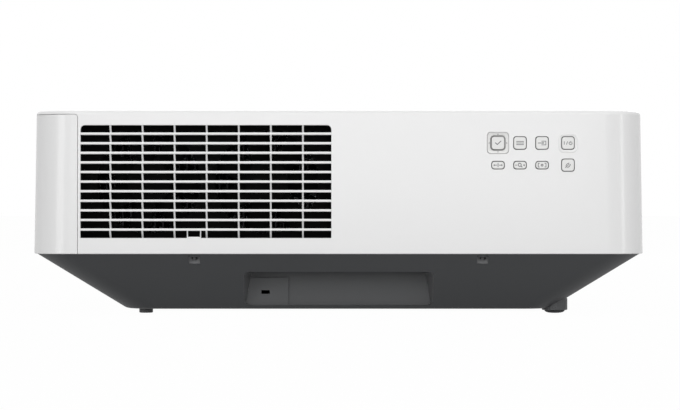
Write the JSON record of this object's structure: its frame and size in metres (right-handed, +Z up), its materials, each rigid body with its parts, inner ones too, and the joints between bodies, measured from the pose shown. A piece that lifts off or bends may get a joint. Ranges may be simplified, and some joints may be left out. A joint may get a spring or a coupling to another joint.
{
  "type": "installation projector",
  "caption": "Installation projector: white drafted cabinet on a sloped dark pan, with exhaust grille and key panel at the rear, shifting zoom lens at the front and a lift-off filter cover.",
  "frame": {"origin": "on the table, under the middle of the cabinet", "axes": "+X to the right seen from the rear (the pictured side), +Y from the rear face towards the lens, +Z up"},
  "size_m": [0.505, 0.406, 0.168],
  "materials": {
    "white_shell": "fine matt moulded texture",
    "key_white": "fine matt moulding",
    "dark_pan": "matt charcoal moulding",
    "inner_black": "matt black",
    "window_black": "gloss, dark",
    "filter": "pleated filter medium in a stiff frame",
    "board": "solder-masked board with parts",
    "alloy": "die cast and machined",
    "steel": "plain and plated steel",
    "black_steel": "blackened screws",
    "brass": "turned",
    "glass": "polished and coated",
    "rubber": "matt rubber"
  },
  "bodies": {
    "cabinet": {"top_cabinet": "white_shell", "exhaust_grille": "white_shell", "bottom_pan": "dark_pan", "terminal_panel": "dark_pan", "exhaust_duct": "inner_black", "fan_frames": "inner_black", "lens_bezel": "inner_black", "ac_inlet": "inner_black", "front_window": "window_black", "key_board": "board", "circuit_boards": "board", "power_supply": "board", "lens_base": "alloy", "engine_case": "alloy", "laser_bank": "alloy", "heatsink": "alloy", "v_guide_rods": "steel", "engine_cover": "steel", "wheel_motor": "steel", "chassis": "steel", "lock_plate": "steel", "hdmi_ports": "steel", "network_ports": "steel", "serial_port": "steel", "cabinet_screws": "black_steel", "mount_inserts": "brass", "foot_nuts": "brass", "prism_block": "glass", "fixed_foot": "rubber"},
    "fan_left": {"fan_rotor_left": "inner_black"},
    "fan_right": {"fan_rotor_right": "inner_black"},
    "filter_cover": {"side_cover": "white_shell", "filter_cartridge": "filter"},
    "pad_ring": {"pad_gimbal": "inner_black"},
    "pad": {"direction_pad": "key_white"},
    "lens_lift": {"v_carriage": "alloy", "h_guide_rods": "steel"},
    "lens_block": {"h_carriage": "inner_black", "lens_barrel": "inner_black", "relay_lenses": "glass", "front_lens": "glass", "zoom_motor": "steel", "focus_motor": "steel"},
    "zoom_gear": {"zoom_ring": "inner_black"},
    "focus_gear": {"focus_ring": "inner_black"},
    "zoom_drive": {"zoom_pinion": "brass"},
    "focus_drive": {"focus_pinion": "brass"},
    "wheel": {"phosphor_wheel": "alloy"},
    "rear_pad": {"rear_foot_pad": "rubber"},
    "rear_stud": {"rear_foot_stud": "dark_pan"},
    "front_pad": {"front_foot_pad": "rubber"},
    "front_stud": {"front_foot_stud": "dark_pan"},
    "button_enter": {"key_enter": "key_white"},
    "button_menu": {"key_menu": "key_white"},
    "button_input": {"key_input": "key_white"},
    "button_power": {"key_power": "key_white"},
    "button_shift": {"key_shift": "key_white"},
    "button_zoom": {"key_zoom": "key_white"},
    "button_focus": {"key_focus": "key_white"},
    "button_eco": {"key_eco": "key_white"}
  },
  "joints": [
    {"name": "fan_left_spin", "type": "hinge", "parent": "cabinet", "child": "fan_left", "pos_m": [-0.1577, -0.158, 0.1099], "axis": [0, 1, 0], "continuous": true},
    {"name": "fan_right_spin", "type": "hinge", "parent": "cabinet", "child": "fan_right", "pos_m": [-0.0597, -0.158, 0.1099], "axis": [0, 1, 0], "continuous": true},
    {"name": "cover_pull", "type": "slide", "parent": "cabinet", "child": "filter_cover", "axis": [-1, 0, 0], "range_m": [0, 0.06]},
    {"name": "enter_press", "type": "slide", "parent": "cabinet", "child": "button_enter", "axis": [0, 0.9999, -0.0153], "range_m": [0, 0.0006], "stiffness_N_per_m": 500, "springref_m": -0.002},
    {"name": "menu_press", "type": "slide", "parent": "cabinet", "child": "button_menu", "axis": [0, 0.9999, -0.0153], "range_m": [0, 0.0006], "stiffness_N_per_m": 500, "springref_m": -0.002},
    {"name": "input_press", "type": "slide", "parent": "cabinet", "child": "button_input", "axis": [0, 0.9999, -0.0153], "range_m": [0, 0.0006], "stiffness_N_per_m": 500, "springref_m": -0.002},
    {"name": "power_press", "type": "slide", "parent": "cabinet", "child": "button_power", "axis": [0, 0.9999, -0.0153], "range_m": [0, 0.0006], "stiffness_N_per_m": 500, "springref_m": -0.002},
    {"name": "shift_press", "type": "slide", "parent": "cabinet", "child": "button_shift", "axis": [0, 0.9999, -0.0153], "range_m": [0, 0.0006], "stiffness_N_per_m": 500, "springref_m": -0.002},
    {"name": "zoom_press", "type": "slide", "parent": "cabinet", "child": "button_zoom", "axis": [0, 0.9999, -0.0153], "range_m": [0, 0.0006], "stiffness_N_per_m": 500, "springref_m": -0.002},
    {"name": "focus_press", "type": "slide", "parent": "cabinet", "child": "button_focus", "axis": [0, 0.9999, -0.0153], "range_m": [0, 0.0006], "stiffness_N_per_m": 500, "springref_m": -0.002},
    {"name": "eco_press", "type": "slide", "parent": "cabinet", "child": "button_eco", "axis": [0, 0.9999, -0.0153], "range_m": [0, 0.0006], "stiffness_N_per_m": 500, "springref_m": -0.002},
    {"name": "pad_tilt_sideways", "type": "hinge", "parent": "cabinet", "child": "pad_ring", "pos_m": [0.1307, -0.19561, 0.1414], "axis": [0, 0.0153, 0.9999], "range_deg": [-1.5, 1.5], "stiffness_Nm_per_rad": 0.2},
    {"name": "pad_tilt_up_down", "type": "hinge", "parent": "pad_ring", "child": "pad", "pos_m": [0.1307, -0.19561, 0.1414], "axis": [1, 0, 0], "range_deg": [-1.5, 1.5], "stiffness_Nm_per_rad": 0.2},
    {"name": "lens_shift_up", "type": "slide", "parent": "cabinet", "child": "lens_lift", "axis": [0, 0, 1], "range_m": [-0.005, 0.005]},
    {"name": "lens_shift_side", "type": "slide", "parent": "lens_lift", "child": "lens_block", "axis": [1, 0, 0], "range_m": [-0.004, 0.004]},
    {"name": "zoom_turn", "type": "hinge", "parent": "lens_block", "child": "zoom_gear", "pos_m": [0, 0.108, 0.109], "axis": [0, 1, 0], "range_deg": [-30, 30]},
    {"name": "focus_turn", "type": "hinge", "parent": "lens_block", "child": "focus_gear", "pos_m": [0, 0.143, 0.109], "axis": [0, 1, 0], "range_deg": [-40, 40]},
    {"name": "zoom_pinion_turn", "type": "hinge", "parent": "lens_block", "child": "zoom_drive", "pos_m": [0.053, 0.113, 0.109], "axis": [0, 1, 0], "range_deg": [-170, 170]},
    {"name": "focus_pinion_turn", "type": "hinge", "parent": "lens_block", "child": "focus_drive", "pos_m": [-0.053, 0.149, 0.109], "axis": [0, 1, 0], "range_deg": [-230, 230]},
    {"name": "wheel_spin", "type": "hinge", "parent": "cabinet", "child": "wheel", "pos_m": [-0.034, -0.028, 0.101], "axis": [1, 0, 0], "continuous": true},
    {"name": "rear_foot_lift", "type": "slide", "parent": "cabinet", "child": "rear_pad", "axis": [0, 0, -1], "range_m": [0, 0.012]},
    {"name": "rear_foot_turn", "type": "hinge", "parent": "rear_pad", "child": "rear_stud", "pos_m": [0.1818, -0.1425, 0.008], "axis": [0, 0, -1], "range_deg": [0, 3460]},
    {"name": "front_foot_lift", "type": "slide", "parent": "cabinet", "child": "front_pad", "axis": [0, 0, -1], "range_m": [0, 0.012]},
    {"name": "front_foot_turn", "type": "hinge", "parent": "front_pad", "child": "front_stud", "pos_m": [0, 0.135, 0.008], "axis": [0, 0, -1], "range_deg": [0, 3460]}
  ],
  "couplings": [
    {"joint": "zoom_pinion_turn", "follows": "zoom_turn", "ratio": -5.625},
    {"joint": "focus_pinion_turn", "follows": "focus_turn", "ratio": -5.625},
    {"joint": "rear_foot_turn", "follows": "rear_foot_lift", "rad_per_m": 5026.5},
    {"joint": "front_foot_turn", "follows": "front_foot_lift", "rad_per_m": 5026.5}
  ]
}
